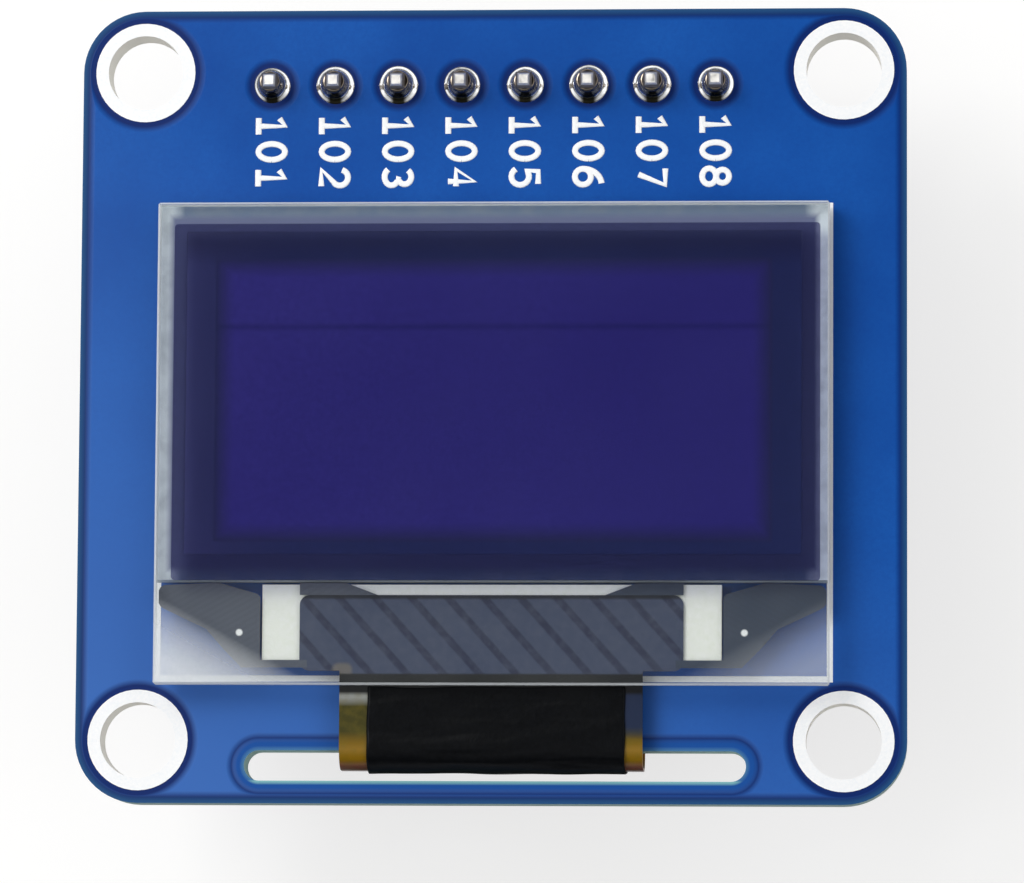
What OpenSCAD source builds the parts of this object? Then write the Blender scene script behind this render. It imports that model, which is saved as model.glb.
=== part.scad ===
// Small display module: a glass panel of organic light-emitting pixels on a square
// circuit board. The panel's flexible circuit leaves its lower ledge, bends through a
// slot in the board and is soldered to the back, where the parts and the pins are.
// Origin: centre of the four mounting holes, on the back face of the board.
// +Y points to the row of pins and +Z is the side that shows the display.

/* [Board] */
// Width of the circuit board
board_w = 33; // [32:0.1:40]
// Height of the circuit board
board_h = 31.8; // [31:0.1:40]
// Thickness of the circuit board
board_t = 1.6; // [1:0.1:2]
// Radius of the board's corners
corner_r = 2.5; // [1:0.1:2.5]
// Distance from the board's edges to the centres of the mounting holes
hole_inset = 2.5; // [2.3:0.1:2.8]
// Diameter of the mounting holes
hole_d = 3; // [2:0.1:3.2]
// Width of the printed ring round each mounting hole
ring_w = 0.5; // [0.3:0.05:0.7]
// Thickness of the white print
print_t = 0.02; // [0.01:0.01:0.05]
// Width of the printed line round the panel
line_w = 0.24; // [0.15:0.01:0.3]
// How far the lower side of that line lies under the glass
line_rise = 0.32; // [0.2:0.01:0.5]

/* [Slot] */
// Length of the slot, end to end
slot_l = 19.9; // [19.5:0.1:20.5]
// Width of the slot
slot_w = 1.2; // [1.1:0.05:1.4]
// Distance from the board's lower edge to the middle of the slot
slot_inset = 1.5; // [1.3:0.05:2]
// Sideways place of the slot's middle
slot_x = 0.2; // [-0.2:0.1:0.4]

/* [Display panel] */
// Width of the glass
panel_w = 26.7; // [25:0.1:27.5]
// Height of the upper glass, with its ledge
panel_h = 19.2; // [18.5:0.02:20]
// Sideways place of the panel's middle
panel_x = 0.1; // [-0.3:0.1:0.4]
// Distance from the slot's upper side to the panel's lower edge
panel_gap = 2.53; // [2.2:0.01:2.8]
// Height of the ledge that the lower glass leaves free
ledge_h = 4.1; // [3.8:0.05:4.4]
// Thickness of the tape under the panel
foam_t = 0.25; // [0.15:0.05:0.5]
// Distance from the lower glass's edges to that tape
foam_inset = 0.9; // [0.4:0.1:1.5]
// Thickness of the lower glass, which caps the pixels
cap_t = 0.55; // [0.4:0.05:0.7]
// Thickness of the seal between the glasses
seal_t = 0.05; // [0.03:0.01:0.1]
// Width of the ground edges of both glasses
ground_w = 0.08; // [0.04:0.01:0.12]
// Width of the seal between the glasses
seal_w = 1.1; // [0.6:0.1:1.5]
// How far the pad under the ledge reaches past the bonded end, at each side
pad_side = 1.5; // [1:0.1:2]
// How far the bonded end reaches below that pad
pad_rise = 0.25; // [0.1:0.05:0.4]
// Thickness of the upper glass, which carries the pixels
substrate_t = 0.65; // [0.5:0.05:0.8]
// Thickness of the polarizer
polarizer_t = 0.2; // [0.1:0.05:0.3]
// Width of the bare glass at each side of the polarizer, on average
polarizer_side = 0.53; // [0.3:0.01:0.8]
// Distance from the middle of the glass to the middle of the polarizer
polarizer_shift = 0.17; // [-0.2:0.01:0.2]
// Width of the bare glass above the polarizer
polarizer_top = 0.9; // [0.6:0.05:1.2]
// Width of the border at each side of the light-emitting area
pixels_side = 2.28; // [2:0.02:3]
// Width of the border above the light-emitting area
pixels_top = 2.2; // [2:0.05:2.6]
// Width of the border below it, down to the ledge
pixels_low = 1.6; // [1.4:0.05:2.4]
// Depth of the hollow in the lower glass
cavity_depth = 0.3; // [0.2:0.02:0.3]
// Thickness of the drying sheet in that hollow
desiccant_t = 0.2; // [0.1:0.02:0.2]

/* [Conductors under the ledge] */
// Width of the wing of conductors at each side
wing_w = 4.05; // [3.8:0.05:4.5]
// Height of a wing
wing_h = 3.4; // [3:0.05:3.6]
// Width of the bars along the lower edge
bar_w = 0.3; // [0.1:0.02:0.4]
// Height of the block of leads above each end of the bonded end
lead_block_h = 0.52; // [0.3:0.02:0.6]
// Length of that block
lead_block_w = 3.1; // [2:0.1:3.5]

/* [Flexible circuit] */
// Thickness of the flexible circuit
flex_t = 0.12; // [0.08:0.01:0.15]
// Width of the end that is bonded under the ledge
head_w = 15.2; // [14:0.1:16]
// Height of the end that is bonded under the ledge
head_h = 3; // [2.6:0.1:3.2]
// Width of the neck that bends through the slot
neck_w = 12; // [11.5:0.1:12.5]
// Inner radius of its two bends
bend_r = 0.84; // [0.75:0.01:0.88]
// Gap between its back run and the board
flex_rest = 0.03; // [0.02:0.01:0.05]
// Film outside the outer fingers of the soldered end
tail_margin = 0.33; // [0.2:0.01:0.5]
// Length of the wide part of that end, before its fingers
tail_h = 1.9; // [1.5:0.1:2.4]
// Length of the straight run between the bend and the wide part
tail_neck = 1.3; // [1:0.1:2]
// Number of soldered fingers
finger_count = 30; // [20:1:30]
// Distance from one finger to the next
finger_pitch = 0.62; // [0.5:0.01:0.62]
// Width of a finger
finger_w = 0.36; // [0.25:0.01:0.4]
// Length of a finger
finger_l = 1.4; // [1:0.1:1.8]
// Thickness of the black tape
tape_t = 0.06; // [0.04:0.01:0.1]
// Width of the black tape
tape_w = 10.2; // [9.5:0.1:10.5]
// Length of the solder beyond a finger's tip
bead_toe = 0.4; // [0.3:0.05:0.6]
// Length of the solder over a finger
bead_over = 0.6; // [0.4:0.05:0.8]
// Distance from the middle of the neck to the middle of the tape
tape_shift = 0.2; // [-0.3:0.05:0.3]
// Length of the driver chip under the neck
chip_l = 6.8; // [5:0.1:8]
// Width of the chip
chip_w = 0.9; // [0.7:0.05:1.2]
// Thickness of the chip
chip_t = 0.3; // [0.2:0.02:0.36]

/* [Pins] */
// Distance from the board's upper edge to the row of pins
row_inset = 3.03; // [2.9:0.01:3.3]
// Distance from one pin to the next
pin_pitch = 2.54; // [2:0.01:2.54]
// Side of the square pins
pin_side = 0.64; // [0.5:0.02:0.7]
// Height of the pin tips above the board
pin_above = 1.4; // [1.2:0.1:1.6]
// Length of the pins beyond the plastic
pin_below = 6; // [4:0.5:10]
// Height of the plastic that holds the pins
header_h = 2.54; // [1.5:0.01:3]
// Depth of the plastic, across the row
header_d = 2.54; // [2.2:0.01:2.7]
// Size of the cut corners between two pins
header_notch = 0.5; // [0.2:0.05:0.7]
// Diameter of the plated holes
plated_d = 1; // [1:0.05:1.1]
// Diameter of the solder at the foot of a joint
joint_d = 1.6; // [1.5:0.05:1.8]
// Height of the solder above the board
joint_h = 1.1; // [0.9:0.05:1.15]

/* [Parts on the back] */
// Length of a chip capacitor or resistor
part_l = 1.6; // [1.2:0.1:1.8]
// Width of a chip capacitor or resistor
part_w = 0.8; // [0.6:0.05:0.9]
// Height of a chip capacitor
capacitor_h = 0.8; // [0.5:0.05:0.9]
// Height of a chip resistor
resistor_h = 0.45; // [0.3:0.05:0.6]
// Length of a metal end of a chip part
terminal_l = 0.35; // [0.2:0.05:0.5]
// Thickness of the formed leads
lead_t = 0.12; // [0.08:0.01:0.18]
// Width of the formed leads
lead_w = 0.4; // [0.3:0.05:0.5]
// Distance that a formed lead reaches from its body
lead_reach = 0.7; // [0.6:0.05:0.9]
// Distance between two leads on a side of the regulator
lead_pitch = 0.95; // [0.8:0.05:1]
// Distance from the board's edge at -X to the row's first part
row_left = 8.3; // [7.5:0.1:9]
// Distance from the board's edge at +X to the row's last part
row_right = 9.1; // [8:0.1:10]
// Distance from the solder of the flexible circuit to the row
row_gap = 2.8; // [2:0.1:3.2]
// Distance from the board's edge at -X to the regulator
regulator_inset = 7.9; // [7:0.1:8.5]
// Distance from the board's edge at +X to the column of resistors
column_inset = 11.1; // [10:0.1:12]
// Distance between two resistors in the column
column_pitch = 1.9; // [1.6:0.05:2.1]
// Gap between the regulator and the capacitor at each side
beside_gap = 1.55; // [1.2:0.05:1.8]
// Length of the regulator's body
regulator_l = 2.9; // [2.7:0.05:3.1]
// Width of the regulator's body
regulator_w = 1.6; // [1.4:0.05:1.8]
// Height of the regulator above its pads
regulator_h = 1.05; // [0.9:0.05:1.3]
// Length of the diode's body
diode_l = 1.7; // [1.5:0.05:2]
// Width of the diode's body
diode_w = 1.25; // [1:0.05:1.4]
// Height of the diode above its pads
diode_h = 0.85; // [0.7:0.05:1]

/* [Hidden] */
$fn = 48;
// Number of pins in the row
pin_count = 8;
// Clearance between round solder and the hole that it fills
bore_clear = 0.01;
// Clearance between the flexible circuit and the edges that it passes
slot_clear = 0.04;
// Clearance between a laid-in sheet and the walls round it
sheet_clear = 0.1;
// Clearance between a printed film and the seal round it
film_clear = 0.01;
// Solder between a pad and the part that lies on it
solder_film = 0.04;
// Gap between a moulded body and the level of its leads' feet
body_lift = 0.1;

// Levels of the panel's layers, from the board up
cap_z = board_t + foam_t;
seal_z = cap_z + cap_t;
substrate_z = seal_z + seal_t;
polarizer_z = substrate_z + substrate_t;

// Rows and edges along Y
row_y = board_h / 2 - row_inset;
slot_y = slot_inset - board_h / 2;
slot_top = slot_y + slot_w / 2;
panel_bottom = slot_top + panel_gap;
panel_top = panel_bottom + panel_h;
ledge_top = panel_bottom + ledge_h;
panel_left = panel_x - panel_w / 2;
cap_h = panel_h - ledge_h;
pixels_w = panel_w - 2 * pixels_side;
pixels_h = cap_h - pixels_top - pixels_low;
pixels_y = ledge_top + pixels_low + pixels_h / 2;

// Conductors under the ledge, and the flexible circuit bonded to them
film_t = 0.02;
flex_z = substrate_z - film_t - flex_t;
head_top = ledge_top - lead_block_h;
head_bottom = head_top - head_h;

// The bends clear the slot's upper edge on the back of the board
bend_reach = sqrt(2 * bend_r * flex_rest - pow(flex_rest, 2));
bend_y = slot_top + bend_reach - slot_clear;
bend_top_z = flex_z - bend_r;
bend_back_z = bend_r - flex_rest;
tail_w = (finger_count - 1) * finger_pitch + finger_w + 2 * tail_margin;
tail_start = bend_y + tail_neck;
finger_start = tail_start + tail_h;
finger_end = finger_start + finger_l;

// Places on the back: [x, y, turn] from the middle of the board
row_count = 7;
part_pitch = (board_w - row_left - row_right) / (row_count - 1);
parts_y = finger_end + bead_toe + row_gap;
group_y = (parts_y + row_y - header_d / 2) / 2 + part_w * 0.75;
regulator_at = [regulator_inset - board_w / 2, group_y];
column_x = board_w / 2 - column_inset;
diode_at = [(regulator_at.x + column_x) / 2, group_y];
beside_regulator = regulator_l / 2 + beside_gap;
function row_place(i) = [row_left - board_w / 2 + (i - 1) * part_pitch, parts_y, 90];
capacitors = concat(
    [for (i = [1:5]) row_place(i)],
    [for (s = [-1, 1]) [regulator_at.x + s * beside_regulator, group_y, 90]]
);
resistors = concat(
    [for (i = [6:row_count]) row_place(i)],
    [for (i = [1, 0, -1]) [column_x, group_y + i * column_pitch, 0]],
    [[column_x + 2 * part_l, group_y, 0]]
);

// ---- Shapes that several parts use ----

// Rectangle with round corners, about its middle
module rounded_rect(w, h, r) {
    square([w - 2 * r, h], center = true);
    square([w, h - 2 * r], center = true);
    for (sx = [-1, 1], sy = [-1, 1])
        translate([sx * (w / 2 - r), sy * (h / 2 - r)]) circle(r = r);
}

// Slot with round ends, about its middle
module stadium(l, w) {
    square([l - w, w], center = true);
    for (s = [-1, 1])
        translate([s * (l - w) / 2, 0]) circle(d = w);
}

// Sheet between two levels of Z, from its left, lower corner
module sheet(x, y, z, w, h, t) {
    translate([x, y, z]) cube([w, h, t]);
}

// Plate whose eight long edges are ground off, about its middle, up from Z = 0
module ground_plate(w, h, t) {
    c = ground_w;
    module side_view(l)
        polygon([
            [c - l / 2, 0], [l / 2 - c, 0], [l / 2, c], [l / 2, t - c],
            [l / 2 - c, t], [c - l / 2, t], [-l / 2, t - c], [-l / 2, c]
        ]);
    intersection() {
        translate([0, h, 0]) rotate([90, 0, 0]) linear_extrude(2 * h) side_view(w);
        translate([-w, 0, 0]) rotate([90, 0, 90]) linear_extrude(2 * w) side_view(h);
    }
}

// The four places of the mounting holes
module at_holes() {
    for (sx = [-1, 1], sy = [-1, 1])
        translate([sx * (board_w / 2 - hole_inset), sy * (board_h / 2 - hole_inset), 0]) children();
}

// Place of pin number i
function pin_x(i) = (i - (pin_count + 1) / 2) * pin_pitch;

// Points of a hollow quarter curve from [x0, y0] to [x1, y1], upright at its end
function hollow(x0, y0, x1, y1, n = 6) = [
    for (i = [0:n])
        [x1 + (x0 - x1) * (1 - sin(90 * i / n)), y0 + (y1 - y0) * (1 - cos(90 * i / n))]
];

// ---- Board and print ----

module circuit_board() {
    color([0.12, 0.33, 0.65])
        difference() {
            linear_extrude(board_t) rounded_rect(board_w, board_h, corner_r);
            at_holes() cylinder(d = hole_d, h = 3 * board_t, center = true);
            translate([slot_x, slot_y, -board_t]) linear_extrude(3 * board_t) stadium(slot_l, slot_w);
            for (i = [1:pin_count])
                translate([pin_x(i), row_y, 0]) cylinder(d = plated_d, h = 3 * board_t, center = true);
        }
}

module silkscreen_print() {
    frame_bottom = panel_bottom + line_rise;
    frame_h = panel_top - frame_bottom;
    color([0.92, 0.97, 1])
        translate([0, 0, board_t]) linear_extrude(print_t) {
            translate([panel_x, frame_bottom + frame_h / 2])
                difference() {
                    square([panel_w + line_w, frame_h + line_w], center = true);
                    square([panel_w - line_w, frame_h - line_w], center = true);
                }
            at_holes()
                difference() {
                    circle(d = hole_d + 2 * ring_w);
                    circle(d = hole_d);
                }
        }
}

// ---- Display panel, from the board up ----

module foam_tape() {
    color([0.9, 0.9, 0.88])
        sheet(panel_left + foam_inset, ledge_top + foam_inset / 2, board_t,
            panel_w - 2 * foam_inset, cap_h - foam_inset, foam_t);
}

// Thicker pad that backs the ledge and the flexible circuit's bonded end
module ledge_pad() {
    pad_w = head_w + 2 * pad_side;
    pad_bottom = head_bottom + pad_rise;
    color([0.94, 0.96, 0.92])
        sheet(panel_x - pad_w / 2, pad_bottom, board_t, pad_w, ledge_top - sheet_clear - pad_bottom,
            flex_z - board_t);
}

// Glass cap with a hollow for the drying sheet
module cap_glass() {
    color([0.75, 0.82, 0.85, 0.5])
        difference() {
            translate([panel_x, ledge_top + cap_h / 2, cap_z]) ground_plate(panel_w, cap_h, cap_t);
            sheet(panel_left + seal_w, ledge_top + seal_w, seal_z - cavity_depth,
                panel_w - 2 * seal_w, cap_h - 2 * seal_w, cavity_depth + 1);
        }
}

module desiccant_sheet() {
    inset = seal_w + sheet_clear;
    color([0.85, 0.85, 0.82])
        sheet(panel_left + inset, ledge_top + inset, seal_z - cavity_depth,
            panel_w - 2 * inset, cap_h - 2 * inset, desiccant_t);
}

module seal_frame() {
    color([0.6, 0.62, 0.6])
        difference() {
            sheet(panel_left + ground_w, ledge_top + ground_w, seal_z,
                panel_w - 2 * ground_w, cap_h - 2 * ground_w, seal_t);
            sheet(panel_left + seal_w, ledge_top + seal_w, seal_z - 1,
                panel_w - 2 * seal_w, cap_h - 2 * seal_w, seal_t + 2);
        }
}

// Anode, light-emitting layers and cathode, on the underside of the upper glass
module emissive_stack() {
    color([0.17, 0.15, 0.43])
        sheet(panel_x - pixels_w / 2, pixels_y - pixels_h / 2, substrate_z - film_t,
            pixels_w, pixels_h, film_t);
}

// Insulator and leads round the light-emitting area, up to the seal
module border_film() {
    inset = seal_w + film_clear;
    color([0.12, 0.14, 0.22])
        difference() {
            sheet(panel_left + inset, ledge_top + inset, substrate_z - film_t,
                panel_w - 2 * inset, cap_h - 2 * inset, film_t);
            sheet(panel_x - pixels_w / 2, pixels_y - pixels_h / 2, substrate_z - 1, pixels_w, pixels_h, 2);
        }
}

module substrate_glass() {
    color([0.8, 0.88, 0.92, 0.35])
        translate([panel_x, panel_bottom + panel_h / 2, substrate_z])
            ground_plate(panel_w, panel_h, substrate_t);
}

module polarizer() {
    h = cap_h - polarizer_top;
    color([0.14, 0.16, 0.28])
        translate([panel_x + polarizer_shift, ledge_top + h / 2, polarizer_z])
            linear_extrude(polarizer_t) rounded_rect(panel_w - 2 * polarizer_side, h, 0.15);
}

// One side of the conductors that show through the ledge, from the panel's side inwards
module trace_side() {
    edge = 0.13 - panel_w / 2;
    // Wing that fans out from the panel's side to the bonded end
    translate([edge, 0])
        polygon([
            [0, -0.25 * wing_h], [0, -0.1 * wing_h], [0.02 * wing_w, -0.06 * wing_h],
            [0.05 * wing_w, -0.04 * wing_h], [0.59 * wing_w, -0.01 * wing_h], [0.97 * wing_w, -0.14 * wing_h],
            [wing_w, -0.18 * wing_h], [wing_w, -wing_h], [0.82 * wing_w, -wing_h], [0.63 * wing_w, -0.77 * wing_h],
            [0.47 * wing_w, -0.55 * wing_h], [0.06 * wing_w, -0.32 * wing_h], [0.02 * wing_w, -0.29 * wing_h]
        ]);
    // Block of leads above the bonded end's corner
    translate([-head_w / 2, -lead_block_h])
        polygon([[0, 0], [0, lead_block_h - 0.05], [0.6 * lead_block_w, lead_block_h - 0.05], [lead_block_w, 0]]);
    // Bar along the lower edge, from the wing to the bonded end
    translate([edge + wing_w, -wing_h]) square([-head_w / 2 + bar_w - edge - wing_w, bar_w]);
}

module electrode_traces() {
    color([0.3, 0.33, 0.42])
        translate([panel_x, ledge_top, substrate_z - film_t]) linear_extrude(film_t) {
            trace_side();
            mirror([1, 0]) trace_side();
        }
}

// ---- Flexible circuit ----

// Quarter turn of a strip about X, from the given angle above +Y
module quarter_bend(w, r_in, t, from) {
    rotate([90, 0, 90]) rotate([0, 0, from])
        rotate_extrude(angle = 90) translate([r_in, -w / 2]) square([t, w]);
}

// Strip that leaves above the board, bends down through the slot and runs up the back
module bent_strip(x, w, lift, t, y_top, y_back) {
    r_in = bend_r + lift;
    sheet(x - w / 2, bend_y, bend_top_z + r_in, w, y_top - bend_y, t);
    translate([x, bend_y, bend_top_z]) quarter_bend(w, r_in, t, 90);
    sheet(x - w / 2, bend_y - r_in - t, bend_back_z, w, t, bend_top_z - bend_back_z);
    translate([x, bend_y, bend_back_z]) quarter_bend(w, r_in, t, 180);
    sheet(x - w / 2, bend_y, bend_back_z - r_in - t, w, y_back - bend_y, t);
}

// Wide end with its comb of fingers, about the middle of its width
module tail_outline() {
    gap_w = finger_pitch - finger_w;
    fillet_r = 0.6;
    difference() {
        translate([-tail_w / 2, tail_start]) square([tail_w, tail_h + finger_l]);
        for (i = [1:finger_count - 1])
            translate([(i - finger_count / 2) * finger_pitch - gap_w / 2, finger_start])
                square([gap_w, finger_l + 1]);
    }
    for (s = [-1, 1])
        difference() {
            translate([s * (neck_w + fillet_r) / 2, tail_start - fillet_r / 2])
                square(fillet_r, center = true);
            translate([s * (neck_w / 2 + fillet_r), tail_start - fillet_r]) circle(r = fillet_r);
        }
}

module head_outline() {
    translate([0, head_top - head_h / 2]) rounded_rect(head_w, head_h, 0.4);
}

module flex_circuit() {
    color([0.62, 0.45, 0.1]) {
        bent_strip(panel_x, neck_w, 0, flex_t, head_bottom + 0.5, tail_start + 0.1);
        translate([panel_x, 0, flex_z]) linear_extrude(flex_t) head_outline();
        translate([panel_x, 0, -flex_rest - flex_t]) linear_extrude(flex_t) tail_outline();
    }
}

// Tape that hides the chip and follows the bend outside the flexible circuit
module black_tape() {
    color([0.04, 0.04, 0.05])
        bent_strip(panel_x + tape_shift, tape_w, flex_t, tape_t, panel_bottom - 0.05, tail_start - 0.2);
}

module driver_chip() {
    chip_y = (panel_bottom + bend_y) / 2;
    color([0.2, 0.2, 0.22])
        sheet(panel_x - chip_l / 2, chip_y - chip_w / 2, flex_z - chip_t,
            chip_l, chip_w, chip_t);
}

// Bead of solder over the tip of each finger, down to its pad
module flex_solder() {
    face = -flex_rest - flex_t;
    crown = 0.75 * flex_t;
    bead = concat(
        [[finger_end, 0], [finger_end, face], [finger_end - bead_over, face]],
        [[finger_end - bead_over, face - crown / 3], [finger_end - bead_over / 2, face - crown]],
        [[finger_end, face - 0.9 * crown], [finger_end + bead_toe / 2, face / 2 - crown / 2]],
        [[finger_end + bead_toe, -crown / 4], [finger_end + bead_toe, 0]]
    );
    color([0.75, 0.76, 0.78])
        for (i = [1:finger_count])
            translate([panel_x + (i - (finger_count + 1) / 2) * finger_pitch - finger_w / 2, 0, 0])
                rotate([90, 0, 90]) linear_extrude(finger_w) polygon(bead);
}

// ---- Pins ----

// Plastic strip: one block per pin, with the corners between blocks cut off
module header_body() {
    half = pin_pitch / 2;
    depth = header_d / 2;
    lower = [
        for (i = [1:pin_count], p = [
            [-half, header_notch - depth], [header_notch - half, -depth],
            [half - header_notch, -depth]
        ]) [pin_x(i) + p.x, p.y]
    ];
    end_x = pin_x(pin_count) + half;
    upper = [for (i = [len(lower) - 1:-1:0]) [lower[i].x, -lower[i].y]];
    color([0.08, 0.08, 0.09])
        translate([0, row_y, -header_h])
            difference() {
                linear_extrude(header_h)
                    polygon(concat(lower, [[end_x, header_notch - depth], [end_x, depth - header_notch]], upper));
                for (i = [1:pin_count])
                    translate([pin_x(i), 0, header_h / 2])
                        cube([pin_side, pin_side, header_h + 2], center = true);
            }
}

// Side view of a pin, which narrows at both ends
module pin_profile(l) {
    half = pin_side / 2;
    tip = 0.55 * half;
    tip_l = 0.25;
    polygon([
        [-tip, 0], [tip, 0], [half, tip_l], [half, l - tip_l],
        [tip, l], [-tip, l], [-half, l - tip_l], [-half, tip_l]
    ]);
}

// Square pin, the same from both sides
module header_pin(i) {
    l = pin_below + header_h + board_t + pin_above;
    color([0.85, 0.8, 0.68])
        translate([pin_x(i), row_y, -header_h - pin_below])
            intersection() {
                translate([0, pin_side, 0]) rotate([90, 0, 0]) linear_extrude(2 * pin_side) pin_profile(l);
                translate([-pin_side, 0, 0]) rotate([90, 0, 90]) linear_extrude(2 * pin_side) pin_profile(l);
            }
}

// Solder that fills the plated hole and climbs the pin; each joint has its own height
module solder_joint(i) {
    top_r = 0.75 * pin_side;
    height = joint_h - 0.06 * (1 + cos(140 * i));
    foot_r = joint_d / 2 - 0.03 * (1 + sin(100 * i));
    fill_r = plated_d / 2 - bore_clear;
    foot = hollow(foot_r, board_t + 0.05, top_r, board_t + height);
    color([0.72, 0.72, 0.74])
        translate([pin_x(i), row_y, 0])
            difference() {
                rotate_extrude()
                    polygon(concat([[0, 0], [fill_r, 0], [fill_r, board_t], [foot_r, board_t]],
                        foot, [[0, board_t + height]]));
                cube([pin_side, pin_side, 4 * (board_t + joint_h)], center = true);
            }
}

// ---- Parts on the back ----

// Moves a part to its place, with its seat on the solder and its height downwards
module on_back(at) {
    translate([at.x, at.y, -solder_film]) rotate([180, 0, len(at) > 2 ? at[2] : 0]) children();
}

// Chip part: a ceramic block whose metal ends stand a little proud
module chip_part(h) {
    proud = 0.03;
    for (s = [-1, 1])
        translate([s * (part_l - terminal_l) / 2, 0, h / 2])
            cube([terminal_l, part_w, h], center = true);
    translate([0, 0, h / 2])
        cube([part_l - terminal_l, part_w - 2 * proud, h - 2 * proud], center = true);
}

module capacitor(i) {
    color([0.72, 0.6, 0.45]) on_back(capacitors[i - 1]) chip_part(capacitor_h);
}

module resistor(i) {
    color([0.1, 0.1, 0.11]) on_back(resistors[i - 1]) chip_part(resistor_h);
}

// Moulded body whose sides slope away from its middle line
module moulded_body(l, w, h) {
    slope = 0.12;
    middle = (h + body_lift) / 2;
    module side_view(l)
        polygon([
            [slope - l / 2, body_lift], [l / 2 - slope, body_lift], [l / 2, middle],
            [l / 2 - slope, h], [slope - l / 2, h], [-l / 2, middle]
        ]);
    intersection() {
        translate([0, w, 0]) rotate([90, 0, 0]) linear_extrude(2 * w) side_view(l);
        translate([-l, 0, 0]) rotate([90, 0, 90]) linear_extrude(2 * l) side_view(w);
    }
}

// Lead that leaves a body's middle line at start and steps down to its pad, along +Y
module gull_lead(start, drop) {
    knee = start + 0.3 * lead_reach;
    heel = start + 0.55 * lead_reach;
    translate([-lead_w / 2, 0, 0]) rotate([90, 0, 90])
        linear_extrude(lead_w)
            polygon([
                [start, drop + lead_t / 2], [knee + lead_t / 2, drop + lead_t / 2], [heel + lead_t / 2, lead_t],
                [start + lead_reach, lead_t], [start + lead_reach, 0], [heel - lead_t / 2, 0],
                [knee - lead_t / 2, drop - lead_t / 2], [start, drop - lead_t / 2]
            ]);
}

// The regulator has three leads on one side and two on the other: [x, side]
regulator_leads_at = [[-1, 1], [0, 1], [1, 1], [-1, -1], [1, -1]] * [[lead_pitch, 0], [0, 1]];

module regulator_body() {
    color([0.07, 0.07, 0.08]) on_back(regulator_at) moulded_body(regulator_l, regulator_w, regulator_h);
}

module regulator_leads() {
    color([0.78, 0.78, 0.8])
        on_back(regulator_at)
            for (lead = regulator_leads_at)
                translate([lead.x, 0, 0]) rotate([0, 0, 90 - 90 * lead.y])
                    gull_lead(regulator_w / 2, (regulator_h + body_lift) / 2);
}

module diode_body() {
    color([0.08, 0.08, 0.09]) on_back(diode_at) moulded_body(diode_l, diode_w, diode_h);
}

module diode_leads() {
    color([0.78, 0.78, 0.8])
        on_back(diode_at)
            for (s = [-90, 90])
                rotate([0, 0, s]) gull_lead(diode_l / 2, (diode_h + body_lift) / 2);
}

// Solder under and beside one end of a part, which lies along +X and ends at x
module end_fillet(x, under, toe, rise, w) {
    rotate([90, 0, 0])
        translate([0, 0, -w / 2]) linear_extrude(w)
            polygon(concat([[x - under, -solder_film], [x + toe, -solder_film]],
                hollow(x + toe, 0, x, rise, 4), [[x, 0], [x - under, 0]]));
}

// Solder at both ends of a part that lies along +X
module end_fillets(l, under, toe, rise, w) {
    for (s = [0, 180])
        rotate([0, 0, s]) end_fillet(l / 2, under, toe, rise, w);
}

module part_solder() {
    toe = 0.35;
    foot = 0.4 * lead_reach;
    color([0.75, 0.76, 0.78]) {
        for (at = capacitors)
            on_back(at) end_fillets(part_l, terminal_l, toe, 0.55 * capacitor_h, part_w);
        for (at = resistors)
            on_back(at) end_fillets(part_l, terminal_l, toe, 0.7 * resistor_h, part_w);
        on_back(regulator_at)
            for (lead = regulator_leads_at)
                translate([lead.x, 0, 0]) rotate([0, 0, 90 * lead.y])
                    end_fillet(regulator_w / 2 + lead_reach, foot, foot, lead_t, lead_w);
        on_back(diode_at)
            end_fillets(diode_l + 2 * lead_reach, foot, foot, lead_t, lead_w);
    }
}

// ---- One line for each node ----

circuit_board();
silkscreen_print();
foam_tape();
ledge_pad();
cap_glass();
desiccant_sheet();
seal_frame();
emissive_stack();
border_film();
substrate_glass();
polarizer();
electrode_traces();
flex_circuit();
flex_solder();
black_tape();
driver_chip();
header_body();
for (i = [1:pin_count])
    header_pin(i);
for (i = [1:pin_count])
    solder_joint(i);
for (i = [1:len(capacitors)])
    capacitor(i);
for (i = [1:len(resistors)])
    resistor(i);
regulator_body();
regulator_leads();
diode_body();
diode_leads();
part_solder();
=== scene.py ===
# %% [markdown]
# # A small display module, finished for a picture
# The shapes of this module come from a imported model, which stays as it is. This lesson gives every
# piece its finish and adds what is too fine for the model: legends, round solder, a creased tape,
# rounded chip parts, outlines and vias. It works in millimetres and turns them into metres only where
# Blender needs them.

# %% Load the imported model
import math

import bmesh
import bpy
from mathutils import Matrix, Vector, noise


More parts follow.
